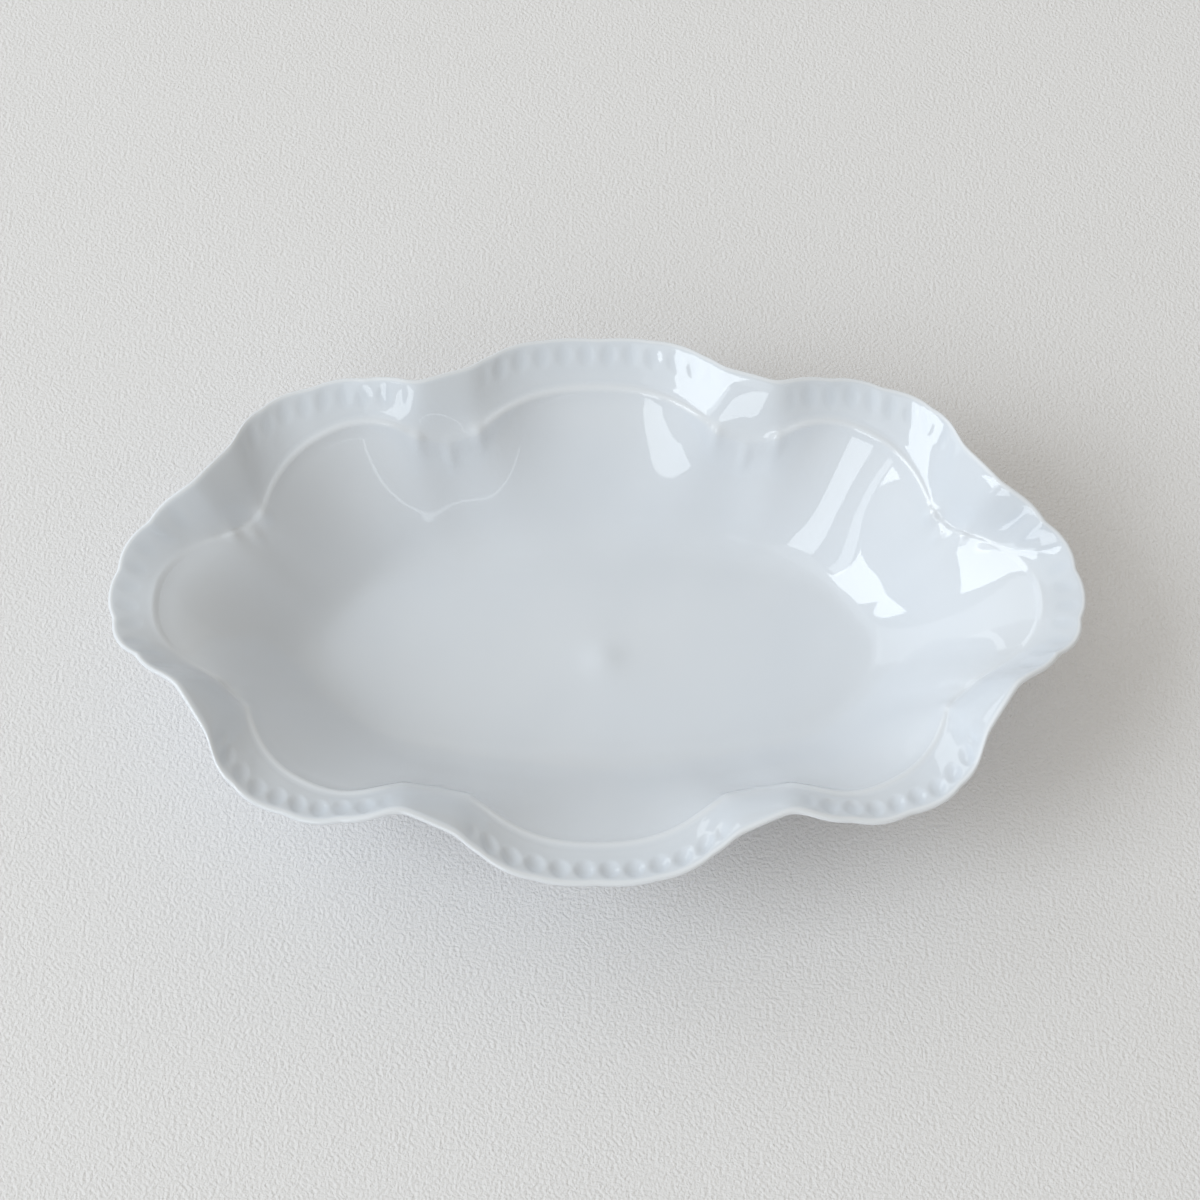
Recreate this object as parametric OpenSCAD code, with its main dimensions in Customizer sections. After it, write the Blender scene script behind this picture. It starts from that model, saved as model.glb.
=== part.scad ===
// Oval scalloped trinket dish in glazed porcelain, standing on a foot ring.
// Z is up, X runs along the dish, sizes are in millimetres.
// The origin is on the table, under the middle of the dish.

/* [Edge seen from above] */
// Half the length of the dish, out to the tip of a side lobe
half_length = 105; // [98:0.5:115]
// Half the width of the dish, out to the tip of a front lobe
half_width = 66; // [62:0.5:72]
// Half the length of the front lobe
front_lobe_half = 28.5; // [25:0.5:32]
// How far its ends are in from its tip
front_lobe_depth = 9.7; // [6:0.1:13]
// Half the length of the side lobe
side_lobe_half = 24; // [21:0.5:27]
// How far its ends are in from its tip
side_lobe_depth = 17; // [12:0.1:20]
// Bridge from the front lobe to the corner lobe, along the dish
front_bridge_along = 11.5; // [7:0.1:15]
// Bridge from the front lobe to the corner lobe, across the dish
front_bridge_across = 4.7; // [2:0.1:8]
// Bridge from the side lobe to the corner lobe, along the dish
side_bridge_along = 7.5; // [4:0.1:11]
// Bridge from the side lobe to the corner lobe, across the dish
side_bridge_across = 11; // [7:0.1:14]
// How far a corner lobe swells from the line between its ends
corner_swell = 9.4; // [6:0.1:12]
// How far that swelling leans towards the side lobe
corner_lean = 0.14; // [0:0.01:0.3]
// Fullness of the front lobe, where 2 is a plain bow
front_fullness = 3; // [2:0.1:4]
// Fullness of the corner lobe
corner_fullness = 2.6; // [2:0.1:4]
// Fullness of the side lobe
side_fullness = 2.4; // [2:0.1:4]

/* [Heights] */
// Depth of the well, from the tip of a side lobe down to the floor
well_depth = 28.4; // [22:0.1:34]
// How far the tip of a front lobe is above the tip of a side lobe
front_tip_rise = -0.2; // [-3:0.1:3]
// How far the middle of a corner lobe is above it
corner_tip_rise = 2; // [-1:0.1:5]
// How far the ends of a front lobe are above it
front_end_rise = 3; // [0:0.1:6]
// How far the ends of a corner lobe are above it
corner_end_rise = 4.8; // [1:0.1:8]
// How far the ends of a side lobe are above it
side_end_rise = 7.8; // [3:0.1:11]

/* [Rim band and ridge] */
// Width of the band from the tip of a side lobe in to the ridge
side_band = 9.6; // [7:0.1:12]
// Width of the band from the tip of a front lobe in to the ridge
front_band = 10.6; // [7:0.1:12]
// End of the front ridge, in from the end of the front lobe, along the dish
front_ridge_along = 1.5; // [0:0.1:4]
// End of the front ridge, in from the end of the front lobe, across the dish
front_ridge_across = 12; // [9:0.1:14]
// Start of the corner ridge, out from the start of the corner lobe, along the dish
corner_start_along = 0.5; // [-2:0.1:3]
// Start of the corner ridge, in from the start of the corner lobe, across the dish
corner_start_across = 9.6; // [7:0.1:12]
// End of the corner ridge, in from the end of the corner lobe, along the dish
corner_stop_along = 6; // [4:0.1:9]
// End of the corner ridge, in from the end of the corner lobe, across the dish
corner_stop_across = 11.5; // [8:0.1:14]
// End of the side ridge, in from the end of the side lobe, along the dish
side_ridge_along = 7.5; // [5:0.1:10]
// End of the side ridge, in from the end of the side lobe, across the dish
side_ridge_across = 6.2; // [4:0.1:8]
// How far a corner ridge swells from the line between its ends
corner_ridge_swell = 10; // [7:0.1:12]
// How far that swelling leans towards the side ridge
corner_ridge_lean = -0.08; // [-0.2:0.01:0.2]
// Fullness of the ridge curves
ridge_fullness = 2.5; // [2:0.1:4]
// Fall of the band from the edge to a side ridge
side_band_fall = 2.7; // [2:0.1:7]
// Fall of the band from the edge to a front ridge
front_band_fall = 5.2; // [2:0.1:7]
// Fall of the band from the edge to a corner ridge
corner_band_fall = 5.2; // [2:0.1:7]
// Fall of the band from the end of a front lobe to where two ridges end
end_band_fall = 7.4; // [5:0.1:10]
// How far a ridge stands up from the surface
ridge_rise = 0.5; // [0.2:0.1:2]
// Half the width of a ridge
ridge_half = 1.3; // [0.8:0.1:2.2]
// How far the wall side of a ridge is lower than the band side
ridge_step = 0.5; // [0:0.1:1.6]
// Hollow of the band between the ridge and the edge
band_hollow = 0.2; // [0:0.1:1.5]

/* [Well] */
// Run of the wall from a side ridge in to the floor
side_wall_run = 36.4; // [30:0.2:42]
// Run of the wall from a front ridge in to the floor
front_wall_run = 33.4; // [28:0.2:37]
// How much of the lobing reaches the floor
floor_lobing = 0.1; // [0:0.05:0.6]
// Fullness of the floor, where 2 is a plain oval
floor_fullness = 3; // [2:0.1:4]
// Roundness of the wall, where 1 steepens all the way and 3 is an s curve
wall_curve = 1.25; // [1:0.05:2]
// Roundness of the wall in the side lobes
side_wall_curve = 2.2; // [1.8:0.05:2.4]

/* [Thickness] */
// Thickness of the floor
floor_thickness = 3; // [2.4:0.1:4]
// Thickness of the wall, measured straight down
wall_thickness = 4; // [3:0.1:5]
// Thickness of the rounded edge
edge_thickness = 2; // [1.6:0.1:3]
// How far the underside climbs across half a ridge
shoulder = 0.8; // [0.4:0.1:1.2]
// Share of the run of the wall that keeps a flat underside, for the foot
base_spread = 0.18; // [0.1:0.02:0.3]

/* [Foot] */
// Height of the foot ring, from the table to the underside of the floor
foot_height = 4.2; // [3:0.1:6]
// How far the foot ring is in from the end of the flat underside
foot_inset_side = 13.5; // [10:0.5:18]
// How far the foot ring is in from the side of the flat underside
foot_inset_front = 1.5; // [1:0.5:5]
// Width of the foot ring
foot_width = 3.2; // [2:0.1:5]
// Across the round support under the middle of the floor
pip_across = 11; // [6:0.5:16]
// How far that support stops above the table
pip_clearance = 0.5; // [0.1:0.1:1.5]
// Slant on the lower edge of that support
pip_slant = 1; // [0.2:0.1:1.5]

/* [Hidden] */
// Steps along half a front or side lobe, along a bridge and along a corner lobe
half_lobe_steps = 7;
bridge_steps = 3;
corner_steps = 12;
// Steps up the wall, across the band and round the foot ring
wall_steps = 8;
band_steps = 3;
foot_steps = 96;
// Shares of the length between which the wall takes on the roundness of the side lobes
side_turn = [0.64, 0.87];
// Reach of the rounding on the edge, and the flat left in its middle
edge_round = edge_thickness / 2;
edge_flat = edge_thickness / 5;
// Ends of the lobes, seen from above
front_end = [front_lobe_half, half_width - front_lobe_depth];
side_end = [half_length - side_lobe_depth, side_lobe_half];
corner_start = front_end + [front_bridge_along, -front_bridge_across];
corner_stop = side_end + [-side_bridge_along, side_bridge_across];
// Ends and tips of the ridges, seen from above
front_ridge_end = front_end - [front_ridge_along, front_ridge_across];
side_ridge_end = side_end - [side_ridge_along, side_ridge_across];
corner_ridge_start = corner_start + [corner_start_along, -corner_start_across];
corner_ridge_stop = corner_stop - [corner_stop_along, corner_stop_across];
front_ridge_tip = half_width - front_band;
side_ridge_tip = half_length - side_band;
front_ridge_swell = front_ridge_tip - front_ridge_end[1];
side_ridge_swell = side_ridge_tip - side_ridge_end[0];
// Levels of the floor, the edge and the surface under the ridges
base_level = foot_height;
floor_level = base_level + floor_thickness;
side_tip_height = floor_level + well_depth;
front_tip_height = side_tip_height + front_tip_rise;
corner_tip_height = side_tip_height + corner_tip_rise;
front_end_height = side_tip_height + front_end_rise;
corner_end_height = side_tip_height + corner_end_rise;
side_end_height = side_tip_height + side_end_rise;
side_ridge_level = side_tip_height - side_band_fall;
front_ridge_level = front_tip_height - front_band_fall;
corner_ridge_level = corner_tip_height - corner_band_fall;
ridge_end_level = front_end_height - end_band_fall;
// Floor and foot, seen from above
floor_half_length = side_ridge_tip - side_wall_run;
floor_half_width = front_ridge_tip - front_wall_run;
foot_half_length = floor_half_length + base_spread * side_wall_run - foot_inset_side;
foot_half_width = floor_half_width + base_spread * front_wall_run - foot_inset_front;

function mix(a, b, part) = a + (b - a) * part;
function other_x(p) = [-p[0], p[1]];
function other_y(p) = [p[0], -p[1]];
function toward(a, b, step) = a + (b - a) * step / norm(b - a);

// Swelling of a lobe, from 0 at its ends to 1 near its middle
function bow(u, fullness, lean) = 1 - pow(abs(u - lean * (1 - u * u)), fullness);

// Point of a lobe at u, where u runs from -1 at end a to 1 at end b
function lobe(a, b, swell, u, fullness, lean) =
    let (half = (b - a) / 2)
    let (out = [-half[1], half[0]] / norm(half))
    (a + b) / 2 + half * u + out * swell * bow(u, fullness, lean);

// Height along a lobe, from its middle to its ends
function sag(middle, ends, u) = mix(middle, ends, u * u);

// Rise from 0 to 1, level at both ends
function ease(u) = let (c = max(0, min(1, u))) c * c * (3 - 2 * c);

// Share of the wall's rise reached at a share of its run
function climb(part, curve) = part * part * mix(curve, 1, part);

// Share of the run at a step up the wall, the first step ends where the underside leaves the flat
function wall_part(k) = k == 0 ? 0 : mix(base_spread, 1, (k - 1) / (wall_steps - 1));

// Stations of one quarter, each is a stretch of the edge and a place along it
front_stations = [for (k = [0 : half_lobe_steps - 1]) [0, k / half_lobe_steps]];
front_bridge = [for (k = [0 : bridge_steps - 1]) [1, k / bridge_steps]];
corner_stations = [for (k = [0 : corner_steps - 1]) [2, 2 * k / corner_steps - 1]];
side_bridge = [for (k = [0 : bridge_steps - 1]) [3, k / bridge_steps]];
side_stations = [for (k = [0 : half_lobe_steps]) [4, k / half_lobe_steps - 1]];
quarter = concat(front_stations, front_bridge, corner_stations, side_bridge, side_stations);
quarter_steps = len(quarter) - 1;
columns = 4 * quarter_steps;

// Outer edge of the dish at a station, seen from above
function edge_plan(s) =
    s[0] == 0 ? lobe(other_x(front_end), front_end, front_lobe_depth, s[1], front_fullness, 0) :
    s[0] == 1 ? mix(front_end, corner_start, s[1]) :
    s[0] == 2 ? lobe(corner_start, corner_stop, corner_swell, s[1], corner_fullness, corner_lean) :
    s[0] == 3 ? mix(corner_stop, side_end, s[1]) :
    lobe(side_end, other_y(side_end), side_lobe_depth, s[1], side_fullness, 0);

// Top of that edge
function edge_height(s) =
    s[0] == 0 ? sag(front_tip_height, front_end_height, s[1]) :
    s[0] == 1 ? mix(front_end_height, corner_end_height, s[1]) :
    s[0] == 2 ? sag(corner_tip_height, corner_end_height, s[1]) :
    s[0] == 3 ? mix(corner_end_height, side_end_height, s[1]) :
    sag(side_tip_height, side_end_height, s[1]);

// Crest of the ridge at a station, seen from above
function ridge_plan(s) =
    s[0] == 0 ? lobe(other_x(front_ridge_end), front_ridge_end, front_ridge_swell, s[1], ridge_fullness, 0) :
    s[0] == 1 ? mix(front_ridge_end, corner_ridge_start, s[1]) :
    s[0] == 2 ? lobe(corner_ridge_start, corner_ridge_stop, corner_ridge_swell, s[1],
        ridge_fullness, corner_ridge_lean) :
    s[0] == 3 ? mix(corner_ridge_stop, side_ridge_end, s[1]) :
    lobe(side_ridge_end, other_y(side_ridge_end), side_ridge_swell, s[1], ridge_fullness, 0);

// Level of the surface under that crest
function ridge_height(s) =
    s[0] == 0 ? sag(front_ridge_level, ridge_end_level, s[1]) :
    s[0] == 2 ? sag(corner_ridge_level, ridge_end_level, s[1]) :
    s[0] == 4 ? sag(side_ridge_level, ridge_end_level, s[1]) :
    ridge_end_level;

// Border of the flat floor below a station, a full oval that keeps part of the lobing
function floor_plan(s) =
    let (r = ridge_plan(s))
    let (across = [r[0] / side_ridge_tip, r[1] / front_ridge_tip])
    let (powers = pow(abs(across[0]), floor_fullness) + pow(abs(across[1]), floor_fullness))
    let (reach = pow(powers, 1 / floor_fullness))
    let (keep = 1 - floor_lobing * (1 - norm(across)))
    [floor_half_length * across[0], floor_half_width * across[1]] * keep / reach;

// Roundness of the wall at a station
function curve_at(s) =
    let (along = ridge_plan(s)[0] / side_ridge_tip)
    mix(wall_curve, side_wall_curve, ease((along - side_turn[0]) / (side_turn[1] - side_turn[0])));

// Inside of the dish at a station, from the floor border up to the rounded edge
function inside(s) =
    let (f = floor_plan(s))
    let (r = ridge_plan(s))
    let (e = edge_plan(s))
    let (level = ridge_height(s))
    let (top = edge_height(s))
    let (curve = curve_at(s))
    concat(
        [for (k = [0 : wall_steps])
            let (part = wall_part(k))
            concat(mix(f, toward(r, f, ridge_half), part),
                mix(floor_level, level - ridge_step, climb(part, curve)))],
        [concat(r, level + ridge_rise)],
        [for (k = [0 : band_steps])
            let (part = k / band_steps)
            concat(mix(toward(r, e, ridge_half), toward(e, r, edge_round), part),
                mix(level, top, part) - band_hollow * 4 * part * (1 - part))],
        [concat(e, top - edge_round)]
    );

// Underside below each of those points, flat at first, then rising to the ridge and out to the edge
function wall_under(k, level, curve) =
    let (part = max(0, wall_part(k) - base_spread) / (1 - base_spread))
    mix(base_level, level - wall_thickness - shoulder, climb(part, curve));
function band_drop(k) = mix(wall_thickness - shoulder, edge_thickness, (k - wall_steps - 2) / band_steps);
function under(s, p, k, count) =
    k <= wall_steps ? wall_under(k, ridge_height(s), curve_at(s)) :
    k == wall_steps + 1 ? ridge_height(s) - wall_thickness :
    k == count - 1 ? p[2] - edge_flat :
    p[2] - band_drop(k);

// Closed section at a station, up the inside and back down the underside
function section(s) =
    let (up = inside(s))
    let (count = len(up))
    concat(up, [for (k = [count - 1 : -1 : 0]) [up[k][0], up[k][1], under(s, up[k], k, count)]]);

// The quarter is mirrored to make the full turn, counted from the right tip
function turned(k) =
    let (q = floor(k / quarter_steps))
    let (step = k - q * quarter_steps)
    let (s = quarter[q % 2 == 0 ? quarter_steps - step : step])
    let (sx = (q == 1 || q == 2) ? -1 : 1)
    let (sy = q >= 2 ? -1 : 1)
    [for (p = section(s)) [p[0] * sx, p[1] * sy, p[2]]];

// Oval of straight steps, for the outline of the foot
module oval(a, b) {
    turn = 360 / foot_steps;
    polygon([for (k = [0 : foot_steps - 1]) [a * cos(k * turn), b * sin(k * turn)]]);
}

// Pressed shell: lobed rim, wall and floor with a flat underside
module dish_body() {
    rings = [for (k = [0 : columns - 1]) turned(k)];
    rows = len(rings[0]);
    points = [for (ring = rings) for (p = ring) p];
    skin = [
        for (k = [0 : columns - 1])
            let (next = (k + 1) % columns)
            for (j = [0 : rows - 2])
                for (half = [0, 1])
                    half == 0 ?
                        [k * rows + j, next * rows + j + 1, k * rows + j + 1] :
                        [k * rows + j, next * rows + j, next * rows + j + 1]
    ];
    top = [for (k = [columns - 1 : -1 : 0]) k * rows];
    under = [for (k = [0 : columns - 1]) k * rows + rows - 1];
    color("white")
        polyhedron(points, concat(skin, [top, under]), convexity = 6);
}

// Oval ring the dish stands on
module foot_ring() {
    color("ivory")
        linear_extrude(height = foot_height)
            difference() {
                oval(foot_half_length, foot_half_width);
                oval(foot_half_length - foot_width, foot_half_width - foot_width);
            }
}

// Round support that keeps the middle of the floor from sagging in the kiln
module centre_pip() {
    tall = foot_height - pip_clearance;
    radius = pip_across / 2;
    color("gainsboro")
        translate([0, 0, pip_clearance])
            rotate_extrude($fn = 96)
                polygon([[0, 0], [radius - pip_slant, 0], [radius, pip_slant], [radius, tall], [0, tall]]);
}

dish_body();
foot_ring();
centre_pip();
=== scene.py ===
from types import SimpleNamespace

import bpy
import numpy as np
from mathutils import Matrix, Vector


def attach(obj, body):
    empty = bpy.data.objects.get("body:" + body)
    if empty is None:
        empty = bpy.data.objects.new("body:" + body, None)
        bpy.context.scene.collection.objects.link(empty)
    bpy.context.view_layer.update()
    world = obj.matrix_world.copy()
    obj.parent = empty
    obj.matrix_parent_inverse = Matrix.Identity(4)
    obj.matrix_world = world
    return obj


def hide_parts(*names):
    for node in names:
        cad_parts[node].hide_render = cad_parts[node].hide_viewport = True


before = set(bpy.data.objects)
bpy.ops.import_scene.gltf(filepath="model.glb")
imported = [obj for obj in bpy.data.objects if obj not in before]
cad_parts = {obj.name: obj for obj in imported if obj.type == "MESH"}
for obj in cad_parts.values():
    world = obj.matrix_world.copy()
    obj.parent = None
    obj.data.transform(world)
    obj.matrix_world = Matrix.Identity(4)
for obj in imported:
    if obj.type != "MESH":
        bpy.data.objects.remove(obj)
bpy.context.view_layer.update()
scene = bpy.context.scene
mm = 0.001  # shapes are worked out in millimetres, Blender is in metres


class Wire:  # a node's output that can be used in sums
    def __init__(self, net, socket):
        self.net, self.socket = net, socket

    def maths(self, operation, a, b):
        return self.net.node("ShaderNodeMath", {"operation": operation}, {0: a, 1: b})

    def __add__(self, other):
        return self.maths("ADD", self, other)

    def __sub__(self, other):
        return self.maths("SUBTRACT", self, other)

    def __rsub__(self, other):
        return self.maths("SUBTRACT", other, self)

    def __mul__(self, other):
        return self.maths("MULTIPLY", self, other)

    __radd__, __rmul__ = __add__, __mul__


class Net:  # the nodes of one material or of the world
    def __init__(self, owner):
        owner.use_nodes = True
        self.tree = owner.node_tree
        self.tree.nodes.clear()

    def node(self, kind, settings=None, sockets=None, output=0):
        made = self.tree.nodes.new(kind)
        for name, value in (settings or {}).items():
            setattr(made, name, value)
        for name, value in (sockets or {}).items():
            if isinstance(value, Wire):
                self.tree.links.new(value.socket, made.inputs[name])
            else:
                made.inputs[name].default_value = value
        return Wire(self, made.outputs[output]) if made.outputs else None


def colour(red, green, blue):  # an opaque colour
    return (red, green, blue, 1.0)


# a mesh from points in mm, with one value of each attribute at every point
def makePiece(name, points, faces, material, body, node, slot, **attributes):
    mesh = bpy.data.meshes.new(name)
    mesh.from_pydata(points * mm, [], faces)
    mesh.validate()
    mesh.shade_smooth()
    for key, values in attributes.items():
        mesh.attributes.new(key, "FLOAT", "POINT").data.foreach_set("value", values.astype(np.float32))
    mesh.materials.append(material)
    piece = bpy.data.objects.new(name, mesh)
    scene.collection.objects.link(piece)
    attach(piece, body)
    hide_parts(node)
    print("made", name, len(mesh.vertices), "points,", len(mesh.polygons), "faces")


def tubeFaces(rows, columns, closed):  # quads between row j and j + 1, wrapped round the columns
    j, k = np.meshgrid(np.arange(rows if closed else rows - 1), np.arange(columns), indexing="ij")
    below, right = (j + 1) % rows, (k + 1) % columns
    quads = np.stack([j * columns + k, below * columns + k, below * columns + right, j * columns + right], -1)
    return quads.reshape(-1, 4).tolist()


def fanFaces(first, columns, centre, turn):  # triangles from one ring to its middle point
    k = np.arange(columns)
    ring = [first + k, first + (k + 1) % columns][::turn]
    return np.stack([np.full(columns, centre), *ring], -1).tolist()


def shellFaces(rows, columns):  # an open tube with a fan at each end, whose middles are the last two points
    last = rows * columns
    return (tubeFaces(rows, columns, False) + fanFaces(0, columns, last, 1)
            + fanFaces(last - columns, columns, last + 1, -1))


# The dish body. One quarter of the rim, from the back tip to the right tip, in five stretches.
# steps: columns along it; places: its first and last u, where u is -1 at end a and 1 at end b
# edge and ridge: ends a and b, swell, fullness and lean; top and level: heights, as a + b u + c u u
# dimples and scallops: how many, how deep; ridgeTall: share of the full relief of the ridge
quarterRim = (
    dict(steps=57, places=(0, 1), edge=((-28.5, 56.3), (28.5, 56.3), 9.7, 3.0, 0.0),
         ridge=((-27.0, 44.3), (27.0, 44.3), 11.1, 2.5, 0.0),
         top=(35.4, 0, 3.2), level=(30.2, 0, 1.0), dimples=(6, 0.6), scallops=(2.5, 0.25), ridgeTall=1.0),
    dict(steps=22, places=(-1, 1), edge=((28.5, 56.3), (40.0, 51.6), 0.0, 2.0, 0.0),
         ridge=((27.0, 44.3), (40.5, 42.0), 0.0, 2.0, 0.0),
         top=(39.5, 0.9, 0), level=(29.2, 0, 0), dimples=(0, 0), scallops=(0, 0), ridgeTall=0.0),
    dict(steps=95, places=(-1, 1), edge=((40.0, 51.6), (80.5, 35.0), 9.4, 2.6, 0.14),
         ridge=((40.5, 42.0), (74.5, 23.5), 10.0, 2.5, -0.08),
         top=(37.6, 0, 2.8), level=(32.2, -1.5, -0.6), dimples=(10, 0.45), scallops=(4, 0.5), ridgeTall=0.9),
    dict(steps=24, places=(-1, 1), edge=((80.5, 35.0), (88.0, 24.0), 0.0, 2.0, 0.0),
         ridge=((74.5, 23.5), (80.5, 17.8), 0.0, 2.0, 0.0),
         top=(41.9, 1.5, 0), level=(29.2, 0, 0), dimples=(0, 0), scallops=(0, 0), ridgeTall=0.0),
    dict(steps=62, places=(-1, 0), edge=((88.0, 24.0), (88.0, -24.0), 17.0, 2.4, 0.0),
         ridge=((80.5, 17.8), (80.5, -17.8), 14.9, 2.5, 0.0),
         top=(35.6, 0, 7.8), level=(32.9, 0, -1.7), dimples=(6, 0.18), scallops=(2.5, 0.9), ridgeTall=0.3),
)
dishForm = {
    "floorLevel": 7.2, "floorHalf": (59.0, 22.0), "floorFullness": 3.0, "floorLobing": 0.1,
    "wallCurve": 1.25, "sideCurve": 2.2,  # roundness of the wall, and of it in the side lobes
    "sideStart": 61.0, "sideOver": 22.0,  # where along the dish that starts, and the length it takes
    "cornerFade": 4,  # power by which the corners of the ridge line fade down the wall
    "floorThick": 3.0, "wallThick": 4.0, "shoulder": 0.8, "underSag": 0.5,
    "baseSpread": 0.18,  # share of the wall that keeps a flat underside
    "lipRadius": 0.65, "lipTuck": 0.45,  # the lip ends this angle short of straight down
    "ridgeHalf": 0.8, "ridgeFall": 0.5, "ridgeLift": 0.6, "ridgeRise": 0.12,
    "rollLift": 0.75,  # between lobes, rise on the band's side over fall on the wall's side
    "bandLobe": (0.95, 1.0), "bandValley": (1.7, 0.6),  # slope at the ridge and the lip, over the mean slope
    "softEdge": 1.3, "softScallop": 0.5, "softRidge": 3.0, "softFloor": 5.0,  # rounding where stretches meet
    "softWall": 16.0, "softLevel": 4.0, "softRidgeOn": 3.5, "softRidgeTall": 3.0,
}
dishRelief = {
    "dimpleIn": 3.9, "dimpleAlong": 2.1, "dimpleAcross": 2.5,
    "dimpleGap": 0.03, "dimpleFade": 0.12, "ridgeFade": 0.08,  # shares of half a lobe, from its end
    "dimpleBack": 0.35, "knobFront": 0.4,  # share left of the dimples at the back, of the knobs at the front
    "backOver": 60.0,  # width over which the front becomes the back
    "grooveAt": 1.6, "grooveWide": 0.6, "grooveDepth": 0.05,
    "knobWide": 1.5, "knobTall": 0.5, "pearlWide": 1.3, "pearlTall": 0.45, "pearlIn": 2.0,
    "floorBump": 1.05, "bumpWide": 4.4, "bumpAt": (1.2, -1.6), "bumpCrown": 0.02,
    "footHalf": (56.5, 33.0), "footFull": 3.0,  # oval where the floor meets the wall
    "footDish": 0.07, "footReach": 12.0,  # slope of the floor at that oval, and how far in it starts
    "footStep": 0.14, "footFade": 8.0,  # slope added past the oval, and the length in which it all dies away
    "wave": 0.035, "waveFade": 8.0,  # slow unevenness, kept off the edge
    "waves": ((0.21, 0.13, 1.0), (-0.12, 0.25, 2.3), (0.3, -0.19, 4.1)),  # turn per mm along x and y, start
}
dishRows = {
    "bump": (0.7, 1.6, 2.5, 3.5, 4.7, 6.2, 8.4),  # radii of circles round the bump
    "floor": (0.22, 0.48, 0.7, 0.82, 0.9, 0.96, 1.0),  # shares of the way from there to the floor's border
    "wall": 17, "wallCrowd": 0.9, "ridge": 8, "band": 27, "lip": 9, "under": 5, "outer": 10,
    "base": (0.75, 0.4, 0.12),  # shares of the floor's border, under the floor
}
# band: a darker tone over the whole band, reached bandOver mm out from the ridge; the rest is glaze pooling
glazeDepth = {"rest": 0.35, "band": 0.3, "bandOver": 4.0, "relief": 0.2, "middle": 0.3}  # how dark the glaze is


def rimCurve(a, b, swell, fullness, lean):  # line from a to b, plus its normal times swell times a bow
    a, b = np.array(a), np.array(b)
    half = (b - a) / 2
    out = np.array((-half[1], half[0])) / np.hypot(*half)
    bow = lambda u: 1 - np.abs(u - lean * (1 - u * u)) ** fullness  # 1 less a power of u, shifted by the lean
    return lambda u: (a + b) / 2 + np.outer(u, half) + np.outer(swell * bow(u), out)


def evenPlaces(curve, start, stop, steps, fineSteps=900):  # u at equal lengths of a curve, and its share
    fine = np.linspace(start, stop, fineSteps)
    run = np.append(0, np.cumsum(np.linalg.norm(np.diff(curve(fine), axis=0), axis=1)))
    share = np.arange(steps) / steps
    return np.interp(share * run[-1], run, fine), share


def soften(values, sigma):  # periodic gaussian blur along the columns, in columns
    spread = np.exp(-2 * (np.pi * np.fft.rfftfreq(len(values)) * sigma) ** 2)
    shape = (-1,) + (1,) * (values.ndim - 1)
    return np.fft.irfft(np.fft.rfft(values, axis=0) * spread.reshape(shape), len(values), axis=0)


def toward(a, b, step):  # point a moved towards b by a length
    return a + (b - a) * (step / np.linalg.norm(b - a, axis=-1))[..., None]


def smooth(x):  # 0 below 0, 1 above 1, level at both
    x = np.clip(x, 0, 1)
    return x * x * (3 - 2 * x)


def hermite(p, start, end, run, slopeStart, slopeEnd):  # cubic from start to end, a slope at each
    return (start * (1 + 2 * p) * (1 - p) ** 2 + end * p * p * (3 - 2 * p)
            + run * (slopeStart * p * (1 - p) ** 2 - slopeEnd * p * p * (1 - p)))


def cusps(share, count, depth):  # how far the edge is drawn in: the square of the place between two cusps
    return depth * (2 * (share * count % 1) - 1) ** 2


def oval(plan, half, fullness):  # 1 on an oval: the sum of the powers of x and y over its half sizes, rooted
    return (np.abs(plan / np.array(half)) ** fullness).sum(-1) ** (1 / fullness)


def lay(plan, height):  # points seen from above, with their heights added
    return np.concatenate([plan, np.broadcast_to(height, plan.shape[:-1])[..., None]], -1)


def stretchColumns(part, u, share):  # values of the rim at each u of a stretch, a row for each column
    edge, ridge = rimCurve(*part["edge"]), rimCurve(*part["ridge"])
    count, deep = part["dimples"]
    fromEnd = (1 - np.abs(u)) * (count > 0)  # a bridge between lobes has no dimples
    ridgeOn = smooth(fromEnd / dishRelief["ridgeFade"])
    dimpleOn = smooth((fromEnd - dishRelief["dimpleGap"]) / dishRelief["dimpleFade"])
    pitch = part["steps"] / max(count, 1)  # columns to a dimple
    return np.column_stack([
        edge(u), ridge(u), np.polyval(part["top"][::-1], u), np.polyval(part["level"][::-1], u),
        ridgeOn, share * count, dimpleOn, cusps(share, *part["scallops"]),
        np.full(len(u), pitch), np.full(len(u), deep), ridgeOn * part["ridgeTall"]])


def quarterColumns():  # the five stretches one after the other, then the tip of the side lobe
    places = [evenPlaces(rimCurve(*part["edge"]), *part["places"], part["steps"]) for part in quarterRim]
    stretches = [stretchColumns(part, *place) for part, place in zip(quarterRim, places)]
    return np.vstack([*stretches, stretchColumns(quarterRim[-1], np.zeros(1), np.ones(1))])


def fullTurn(quarter):  # the quarter mirrored four times, counted from the right tip, against the clock
    n = len(quarter) - 1
    back, on = np.arange(n, 0, -1), np.arange(n)
    turned = quarter[np.concatenate([back, on, back, on])]
    sign = np.repeat([[1, 1], [-1, 1], [-1, -1], [1, -1]], n, axis=0)
    turned[:, 0:2] *= sign
    turned[:, 2:4] *= sign
    return turned


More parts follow.
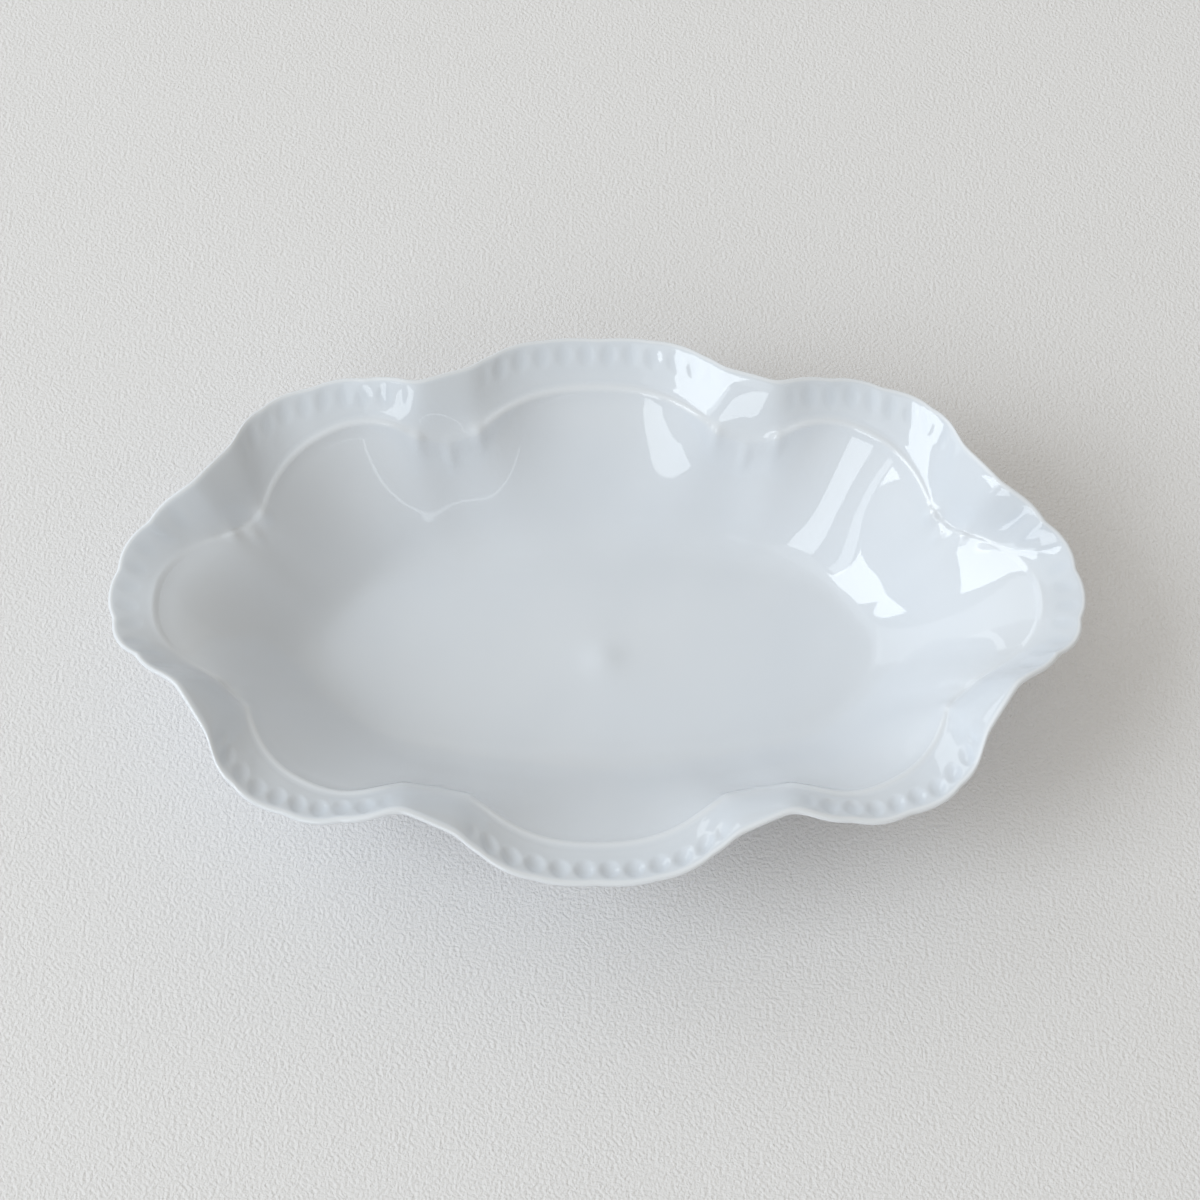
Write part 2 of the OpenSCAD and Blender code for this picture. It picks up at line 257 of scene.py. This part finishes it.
def dishColumns():  # all that changes only round the dish: lines seen from above, their heights and slopes
    form = dishForm
    turned = fullTurn(quarterColumns())
    edge, ridge = turned[:, 0:2], turned[:, 2:4]
    top, level, ridgeOn, count, dimpleOn, scallop, pitch, deep, ridgeTall = turned[:, 4:].T
    step = np.linalg.norm(np.roll(edge, -1, 0) - edge, axis=1).mean()  # mm along the edge
    soft = lambda values, length: soften(values, form[length] / step)

    # small scallops drawn in square to the edge
    along = np.roll(edge, -1, 0) - np.roll(edge, 1, 0)
    out = np.column_stack([along[:, 1], -along[:, 0]]) / np.linalg.norm(along, axis=1)[:, None]
    edge = soft(edge, "softEdge") - out * (scallop * dimpleOn)[:, None]
    edge = soft(edge, "softScallop")

    # floor border: a full oval that keeps part of the lobing of the ridge
    across = ridge / np.abs(ridge).max(0)
    keep = 1 - form["floorLobing"] * (1 - np.linalg.norm(across, axis=1))
    reach = oval(across, (1, 1), form["floorFullness"])
    floor = soft(across * form["floorHalf"] * (keep / reach)[:, None], "softFloor")
    ridge = soft(ridge, "softRidge")
    top, level = soft(top, "softLevel"), soft(level, "softLevel")
    ridgeOn = soft(ridgeOn, "softRidgeOn")

    # wall: a cubic that is rounder in the side lobes, and rolls over between lobes, where it has no ridge
    wallTop, bandFoot = toward(ridge, floor, form["ridgeHalf"]), toward(ridge, edge, form["ridgeHalf"])
    atSide = soft(smooth((np.abs(ridge[:, 0]) - form["sideStart"]) / form["sideOver"]), "softLevel")
    curve = form["wallCurve"] + (form["sideCurve"] - form["wallCurve"]) * atSide
    wallSlope = (3 - curve) * (level - form["floorLevel"]) / np.linalg.norm(wallTop - floor, axis=1)
    rollOver = wallSlope * form["ridgeHalf"] * (1 - ridgeOn)
    ridgeFoot = level - form["ridgeFall"] * ridgeOn - rollOver

    # band: its first and last slopes are shares of the mean slope
    bandLevel = level + form["ridgeLift"] * ridgeOn + form["rollLift"] * rollOver
    bandSlope = (top - bandLevel) / np.linalg.norm(edge - bandFoot, axis=1)
    bandStart, bandEnd = (bandSlope * (lobe * ridgeOn + valley * (1 - ridgeOn))
                          for lobe, valley in zip(form["bandLobe"], form["bandValley"]))
    lipCentre = toward(edge, ridge, form["lipRadius"])
    return SimpleNamespace(
        edge=edge, ridge=ridge, floor=floor, top=top, level=level, wallTop=wallTop, bandFoot=bandFoot,
        softTop=soft(wallTop, "softWall"), curve=curve, wallSlope=wallSlope, ridgeFoot=ridgeFoot,
        bandLevel=bandLevel, bandStart=bandStart, bandEnd=bandEnd, lipCentre=lipCentre,
        outward=(edge - lipCentre) / form["lipRadius"], dimpleOn=dimpleOn, deep=soft(deep, "softLevel"),
        beside=(count % 1 - 0.5) * step * pitch, ridgeTall=soft(ridgeTall, "softRidgeTall"))


def dishSurface(c):  # rows from the middle of the floor up and out to the lip, then back under to the middle
    form, rows = dishForm, dishRows
    col = lambda x: np.asarray(x, float)[:, None, None]
    row = lambda x: np.asarray(x, float)[:, None]
    climb = lambda p: p * p * (c.curve + (1 - c.curve) * p)  # rise of the wall, a cubic of its run
    corner = c.wallTop - c.softTop
    wallPlan = lambda p: c.floor + (c.softTop - c.floor) * p + corner * p ** form["cornerFade"]

    aside = c.floor / np.linalg.norm(c.floor, axis=1)[:, None]
    # circles round the bump first, then out to the border of the floor
    bumpPlan = np.array(dishRelief["bumpAt"]) + col(rows["bump"]) * aside
    floorPlan = np.concatenate([bumpPlan, bumpPlan[-1] + (c.floor - bumpPlan[-1]) * col(rows["floor"])])
    floorRows = lay(floorPlan, form["floorLevel"])
    t = (np.arange(1, rows["wall"] + 1) / rows["wall"]) ** rows["wallCrowd"]
    wallRows = lay(wallPlan(col(t)),
                   form["floorLevel"] + (c.ridgeFoot - form["floorLevel"]) * climb(row(t)))
    v = np.arange(1, rows["ridge"] + 1) / (rows["ridge"] + 1)
    ridgeRows = lay(c.wallTop + (c.bandFoot - c.wallTop) * col(v), hermite(
        row(v), c.ridgeFoot, c.bandLevel, 2 * form["ridgeHalf"], c.wallSlope, c.bandStart))

    # the lip is part of a circle that goes on from the slope of the band
    radius, tilt = form["lipRadius"], np.arctan(c.bandEnd)
    lipStart = c.lipCentre - c.outward * (radius * np.sin(tilt))[:, None]
    bandRun = np.linalg.norm(lipStart - c.bandFoot, axis=1)
    q = np.arange(rows["band"]) / rows["band"]
    bandRows = lay(c.bandFoot + (lipStart - c.bandFoot) * col(q), hermite(
        row(q), c.bandLevel, c.top - radius * (1 - np.cos(tilt)), bandRun, c.bandStart, c.bandEnd))
    lipStop = np.full(len(tilt), form["lipTuck"] - np.pi / 2)
    turn = np.linspace(np.pi / 2 + tilt, lipStop, rows["lip"] + 1)
    lipRows = lay(c.lipCentre + c.outward * (radius * np.cos(turn))[..., None],
                  c.top - radius + radius * np.sin(turn))

    b = np.arange(1, rows["under"] + 1) / rows["under"]
    underEnd = lay(c.bandFoot, c.level - form["wallThick"] + form["shoulder"])
    underRows = lipRows[-1] + (underEnd - lipRows[-1]) * col(b)
    underRows[..., 2] -= form["underSag"] * row(4 * b * (1 - b))
    w = 1 - np.arange(rows["outer"] + 1) / rows["outer"]
    base = form["floorLevel"] - form["floorThick"]
    lift = climb(np.clip((row(w) - form["baseSpread"]) / (1 - form["baseSpread"]), 0, 1))
    outerRows = lay(wallPlan(col(w)), base + (c.level - form["wallThick"] - form["shoulder"] - base) * lift)
    baseRows = lay(col(rows["base"]) * c.floor, base)
    inner = [floorRows, wallRows, ridgeRows, bandRows]
    return np.concatenate([*inner, lipRows, underRows, outerRows, baseRows]), sum(map(len, inner))


def knobs(plan):  # the highest of the gaussians at both ends and the middle of each bridge, in four quarters
    relief, folded = dishRelief, np.abs(plan)
    tall = np.zeros(plan.shape[:-1])
    for part in (quarterRim[1], quarterRim[3]):
        a, b = np.array(part["ridge"][0]), np.array(part["ridge"][1])
        inward = np.array((b[1] - a[1], a[0] - b[0])) / np.linalg.norm(b - a)
        for name, at in (("knob", a), ("pearl", (a + b) / 2 + inward * relief["pearlIn"]), ("knob", b)):
            away = np.linalg.norm(folded - at, axis=2) / relief[name + "Wide"]
            tall = np.maximum(tall, relief[name + "Tall"] * np.exp(-away ** 2))
    return tall


def floorEdge(plan):  # a parabola up to an oval, then a step of slope that dies away
    relief = dishRelief
    past = np.linalg.norm(plan, axis=2) * (1 - 1 / oval(plan, relief["footHalf"], relief["footFull"]))
    dish, reach = relief["footDish"], relief["footReach"]
    before = dish * np.maximum(past + reach, 0) ** 2 / (2 * reach)
    after = (dish * reach / 2 + (dish + relief["footStep"]) * past) * np.exp(-past / relief["footFade"])
    return np.where(past < 0, before, after)


def unevenness(plan):  # a sum of slow sine waves
    return sum(np.sin(along * plan[..., 0] + across * plan[..., 1] + start)
               for along, across, start in dishRelief["waves"])


def dishHeights(c, plan):  # relief of the inside along its normal, and how dark the glaze is there
    form, relief = dishForm, dishRelief
    fromEdge = np.linalg.norm(plan - c.edge, axis=2)
    side = np.sign(((plan - c.ridge) * c.outward).sum(2))
    fromRidge = np.linalg.norm(plan - c.ridge, axis=2) * side
    roll = np.cos(np.clip(fromRidge / form["ridgeHalf"], -1, 1) * np.pi / 2) * c.ridgeTall
    groove = np.exp(-((np.abs(fromRidge) - relief["grooveAt"]) / relief["grooveWide"]) ** 2) * c.ridgeTall
    dimple = np.maximum(0, 1 - (c.beside / relief["dimpleAlong"]) ** 2
                        - ((fromEdge - relief["dimpleIn"]) / relief["dimpleAcross"]) ** 2) * c.dimpleOn
    toBack = smooth(c.edge[:, 1] / relief["backOver"] + 0.5)  # 0 along the front, 1 along the back
    deep = c.deep * (1 - (1 - relief["dimpleBack"]) * toBack)
    height = form["ridgeRise"] * roll - relief["grooveDepth"] * groove - deep * dimple
    knob = knobs(plan) * (1 - (1 - relief["knobFront"]) * (1 - toBack))
    height += np.maximum(knob - np.maximum(height, 0), 0)
    fromBump = ((plan - relief["bumpAt"]) ** 2).sum(2)
    height += relief["floorBump"] * np.exp(-fromBump / relief["bumpWide"] ** 2) + floorEdge(plan)
    height += relief["wave"] * unevenness(plan) * smooth(fromEdge / relief["waveFade"])
    # glaze pools in dimples and grooves and thins on crests, and the whole band past the ridge is darker
    pool = (glazeDepth["rest"] + glazeDepth["band"] * smooth(fromRidge / glazeDepth["bandOver"])
            + glazeDepth["relief"] * (dimple + groove - roll - np.clip(knob, 0, 1)))
    return height, np.clip(pool, 0, 1)


def dishGrid():  # the surface moved along its normal by the relief, and how dark the glaze is at each point
    c = dishColumns()
    grid, inside = dishSurface(c)
    # outward normal: the step along the rows crossed with the step round the columns
    normal = np.cross(np.gradient(grid, axis=0), np.roll(grid, -1, 1) - np.roll(grid, 1, 1))
    normal /= np.linalg.norm(normal, axis=2)[..., None] + 1e-9
    pool = np.zeros(grid.shape[:2])
    height, pool[:inside] = dishHeights(c, grid[:inside, :, :2])
    grid[:inside] += normal[:inside] * height[..., None]
    return grid, pool


def buildDish(material):  # the grid, closed by one point on top of the bump and one under the floor
    grid, pool = dishGrid()
    crown = grid[0, :, 2].mean() + dishRelief["bumpCrown"]
    middle = np.array([[*dishRelief["bumpAt"], crown], [0, 0, grid[-1, 0, 2]]])
    points = np.concatenate([grid.reshape(-1, 3), middle])
    makePiece("dishBody", points, shellFaces(*grid.shape[:2]), material, "root", "dish_body", "glaze",
              glazePool=np.append(pool.ravel(), [glazeDepth["middle"]] * 2))


# The foot ring: a rounded profile carried round an oval
footForm = {"half": (52.05, 26.51), "width": 3.2, "height": 4.2, "round": 0.8, "fillet": 0.7,
            "columns": 320, "roundSteps": 8, "filletSteps": 6}


def arc(centre, radius, start, stop, steps):  # points of a circle from one angle to another, in degrees
    angle = np.radians(np.linspace(start, stop, steps))
    return np.column_stack([centre[0] + radius * np.cos(angle), centre[1] + radius * np.sin(angle)])


def carry(profile, half, columns):  # out and up of a profile, carried round an oval of these half sizes
    angle = np.linspace(0, 2 * np.pi, columns, endpoint=False)
    out, up = profile[:, 0:1], profile[:, 1:2]
    return np.stack([(half[0] + out) * np.cos(angle), (half[1] + out) * np.sin(angle),
                     np.broadcast_to(up, (len(profile), columns))], -1)


def buildFoot(material):  # a section with two rounded lower corners and a fillet on each side at the top
    form = footForm
    w, h, r, f = form["width"], form["height"], form["round"], form["fillet"]
    profile = np.vstack([
        arc((f, h - f), f, 90, 180, form["filletSteps"]),  # out under the floor, then down the outside
        arc((-r, r), r, 0, -90, form["roundSteps"]), arc((r - w, r), r, -90, -180, form["roundSteps"]),
        arc((-w - f, h - f), f, 0, 90, form["filletSteps"]), [[-w / 2, h]]])[::-1]
    grid = carry(profile, form["half"], form["columns"])
    makePiece("footRing", grid.reshape(-1, 3), tubeFaces(*grid.shape[:2], True), material,
              "root", "foot_ring", "bare_foot")


# The support under the middle: a profile turned round the upright axis
pipForm = {"radius": 5.5, "low": 0.5, "high": 4.2, "round": 1.2, "fillet": 0.6, "core": 0.6,
           "columns": 96, "roundSteps": 9, "filletSteps": 6}


def buildPip(material):  # a section with a rounded lower corner and a fillet at the top
    form = pipForm
    r, low, high, e, f = (form[k] for k in ("radius", "low", "high", "round", "fillet"))
    profile = np.vstack([[[form["core"], low]], arc((r - e, low + e), e, -90, 0, form["roundSteps"]),
                         arc((r + f, high - f), f, 180, 90, form["filletSteps"]), [[form["core"], high]]])
    grid = carry(profile, (0, 0), form["columns"])[::-1]
    points = np.concatenate([grid.reshape(-1, 3), [[0, 0, high], [0, 0, low]]])
    makePiece("centrePip", points, shellFaces(*grid.shape[:2]), material, "root", "centre_pip", "glaze",
              glazePool=np.full(len(points), glazeDepth["rest"]))


# The looks. Scales are per metre, lengths in metres.
glazeLook = {
    "thin": colour(0.73, 0.765, 0.822), "pooled": colour(0.625, 0.68, 0.764), "depthVary": 0.5,
    "gloss": 0.035, "glossVary": 0.03, "refraction": 1.5,
    "cloudScale": 38.0, "rippleScale": 95.0, "grainScale": 900.0, "grainShare": 0.02,
    "bump": 0.08, "bumpHeight": 0.0006,
    "speck": colour(0.16, 0.14, 0.12), "speckScale": 55.0, "speckEdge": (0.018, 0.008), "speckDepth": 0.25,
    "patchScale": 31.0, "patchEdge": (0.56, 0.6),  # specks show in some patches only
}


def makeGlaze():  # thin and pooled glaze mixed by its depth, with a few specks
    look = glazeLook
    material = bpy.data.materials.new("glaze")
    net = Net(material)
    place = net.node("ShaderNodeTexCoord", output=3)
    pool = net.node("ShaderNodeAttribute", {"attribute_name": "glazePool"}, output=2)
    cloud = net.node("ShaderNodeTexNoise", {}, {"Vector": place, "Scale": look["cloudScale"], "Detail": 3.0})
    grain = net.node("ShaderNodeTexNoise", {}, {"Vector": place, "Scale": look["grainScale"], "Detail": 2.0})
    ripple = net.node("ShaderNodeTexNoise", {}, {
        "Vector": place, "Scale": look["rippleScale"], "Detail": 1.0})
    vary = cloud - 0.5
    body = net.node("ShaderNodeMix", {"data_type": "RGBA"},
                    {0: pool + vary * look["depthVary"], 6: look["thin"], 7: look["pooled"]}, 2)
    spots = net.node("ShaderNodeTexVoronoi", {}, {"Vector": place, "Scale": look["speckScale"]})
    patches = net.node("ShaderNodeTexNoise", {}, {"Vector": place, "Scale": look["patchScale"]})
    isSpeck = net.node("ShaderNodeMapRange", {}, {
        0: spots, 1: look["speckEdge"][0], 2: look["speckEdge"][1], 3: 0.0, 4: look["speckDepth"]})
    inPatch = net.node("ShaderNodeMapRange", {}, {
        0: patches, 1: look["patchEdge"][0], 2: look["patchEdge"][1]})
    tone = net.node("ShaderNodeMix", {"data_type": "RGBA"},
                    {0: isSpeck * inPatch, 6: body, 7: look["speck"]}, 2)
    bump = net.node("ShaderNodeBump", {}, {
        "Strength": look["bump"], "Distance": look["bumpHeight"],
        "Height": ripple + grain * look["grainShare"]})
    shader = net.node("ShaderNodeBsdfPrincipled", {}, {
        "Base Color": tone, "Roughness": look["gloss"] + vary * look["glossVary"], "Normal": bump,
        "IOR": look["refraction"]})
    net.node("ShaderNodeOutputMaterial", {}, {0: shader})
    return material


footLook = {
    "biscuit": colour(0.74, 0.715, 0.67), "grit": colour(0.6, 0.56, 0.5), "glazed": colour(0.8, 0.82, 0.83),
    "bareBelow": 0.0006, "bareVary": 0.0006, "bareFade": 0.00025,  # height of the ground edge
    "bareRough": 0.85, "glazedRough": 0.08,
    "varyScale": 120.0, "gritScale": 2600.0, "gritShare": 0.5,
    "bump": 0.35, "bumpHeight": 0.0002, "varyBump": 0.3,
}


def makeFootClay():  # gritty bare clay below a wandering line, glaze above it
    look = footLook
    material = bpy.data.materials.new("bareFoot")
    net = Net(material)
    place = net.node("ShaderNodeTexCoord", output=3)
    height = net.node("ShaderNodeSeparateXYZ", {}, {0: place}, 2)
    vary = net.node("ShaderNodeTexNoise", {}, {"Vector": place, "Scale": look["varyScale"], "Detail": 3.0})
    grit = net.node("ShaderNodeTexNoise", {}, {"Vector": place, "Scale": look["gritScale"], "Detail": 4.0})
    glazed = net.node("ShaderNodeMapRange", {}, {
        0: height + (vary - 0.5) * look["bareVary"],
        1: look["bareBelow"], 2: look["bareBelow"] + look["bareFade"]})
    clay = net.node("ShaderNodeMix", {"data_type": "RGBA"}, {
        0: grit * look["gritShare"], 6: look["biscuit"], 7: look["grit"]}, 2)
    tone = net.node("ShaderNodeMix", {"data_type": "RGBA"}, {0: glazed, 6: clay, 7: look["glazed"]}, 2)
    bump = net.node("ShaderNodeBump", {}, {
        "Strength": look["bump"], "Distance": look["bumpHeight"],
        "Height": grit * (1 - glazed) + vary * look["varyBump"]})
    shader = net.node("ShaderNodeBsdfPrincipled", {}, {
        "Base Color": tone, "Normal": bump,
        "Roughness": look["bareRough"] - glazed * (look["bareRough"] - look["glazedRough"])})
    net.node("ShaderNodeOutputMaterial", {}, {0: shader})
    return material


tableLook = {
    "half": 5.0, "pale": colour(0.785, 0.783, 0.808), "worn": colour(0.735, 0.73, 0.742), "rough": 0.6,
    "grainScale": 1300.0, "grainShare": 0.15, "broadScale": 14.0, "broadShare": 0.35,
    "bump": 0.8, "bumpHeight": 0.0006,
}


def makeTable():  # one square of pale, finely grained surface
    look = tableLook
    material = bpy.data.materials.new("paleTable")
    net = Net(material)
    place = net.node("ShaderNodeTexCoord", output=3)
    grain = net.node("ShaderNodeTexNoise", {}, {"Vector": place, "Scale": look["grainScale"], "Detail": 2.5})
    broad = net.node("ShaderNodeTexNoise", {}, {"Vector": place, "Scale": look["broadScale"], "Detail": 2.0})
    tone = net.node("ShaderNodeMix", {"data_type": "RGBA"}, {
        0: broad * look["broadShare"] + grain * look["grainShare"], 6: look["pale"], 7: look["worn"]}, 2)
    bump = net.node("ShaderNodeBump", {}, {
        "Strength": look["bump"], "Distance": look["bumpHeight"], "Height": grain})
    shader = net.node("ShaderNodeBsdfPrincipled", {}, {
        "Base Color": tone, "Roughness": look["rough"], "Normal": bump})
    net.node("ShaderNodeOutputMaterial", {}, {0: shader})
    half = look["half"]
    mesh = bpy.data.meshes.new("table")
    corners = [(-half, -half, 0), (half, -half, 0), (half, half, 0), (-half, half, 0)]
    mesh.from_pydata(corners, [], [(0, 1, 2, 3)])
    mesh.materials.append(material)
    table = bpy.data.objects.new("table", mesh)
    scene.collection.objects.link(table)


windowLight = {
    "distance": 4.0, "aim": (0, 0, 0.02), "tint": (0.88, 0.955, 1.0),
    "panes": (  # azimuth, elevation, width and height in degrees, radiance
        (196.0, 38.5, 26.0, 31.0, 5.2), (215.0, 31.0, 6.0, 26.0, 2.2), (240.0, 29.5, 13.0, 25.0, 3.4),
        (150.0, 28.0, 26.0, 44.0, 0.95), (126.0, 9.0, 22.0, 12.0, 1.6), (287.0, 21.5, 34.0, 0.7, 2.0),
        (190.0, 62.0, 80.0, 20.0, 0.56), (75.0, 34.0, 70.0, 40.0, 0.22)),
}
roomLight = {"world": colour(0.51, 0.478, 0.42), "strength": 1.0}


def addPane(name, place, aim, size, radiance, tint):  # a flat lamp of power radiance times pi times area
    lamp = bpy.data.lights.new(name, "AREA")
    lamp.shape, lamp.size, lamp.size_y = "RECTANGLE", size[0], size[1]
    lamp.energy, lamp.color = radiance * np.pi * size[0] * size[1], tint
    pane = bpy.data.objects.new(name, lamp)
    pane.location = place
    pane.rotation_euler = (aim - place).to_track_quat("-Z", "Y").to_euler()
    scene.collection.objects.link(pane)


def lightRoom():  # an even room, and panes placed by their direction from the dish
    world = bpy.data.worlds.new("room")
    scene.world = world
    net = Net(world)
    shade = net.node("ShaderNodeBackground", {}, {
        "Color": roomLight["world"], "Strength": roomLight["strength"]})
    net.node("ShaderNodeOutputWorld", {}, {0: shade})
    aim, distance = Vector(windowLight["aim"]), windowLight["distance"]
    for i, pane in enumerate(windowLight["panes"]):
        azimuth, elevation, width, height = np.radians(pane[:4])
        away = Vector((np.cos(azimuth) * np.cos(elevation), np.sin(azimuth) * np.cos(elevation),
                       np.sin(elevation)))
        size = 2 * distance * np.tan(np.array((width, height)) / 2)
        addPane("windowPane%d" % i, aim + distance * away, aim, size, pane[4], windowLight["tint"])


cameraView = {"place": (0.0006, -0.2252, 0.4749), "aim": (0.0006, -0.00108, 0.0351),
              "lens": 69.0, "sensor": 36.0, "clip": (0.01, 40.0)}


def placeCamera():  # a camera at its place, turned to its aim
    lens = bpy.data.cameras.new("camera")
    lens.lens, lens.sensor_width = cameraView["lens"], cameraView["sensor"]
    lens.clip_start, lens.clip_end = cameraView["clip"]
    camera = bpy.data.objects.new("camera", lens)
    camera.location = cameraView["place"]
    camera.rotation_euler = (Vector(cameraView["aim"]) - camera.location).to_track_quat("-Z", "Y").to_euler()
    scene.collection.objects.link(camera)
    scene.camera = camera


glaze = makeGlaze()
buildDish(glaze)
buildFoot(makeFootClay())
buildPip(glaze)
makeTable()
lightRoom()
placeCamera()
scene.view_settings.view_transform = "Standard"
print("materials, table, lamps and camera are in")
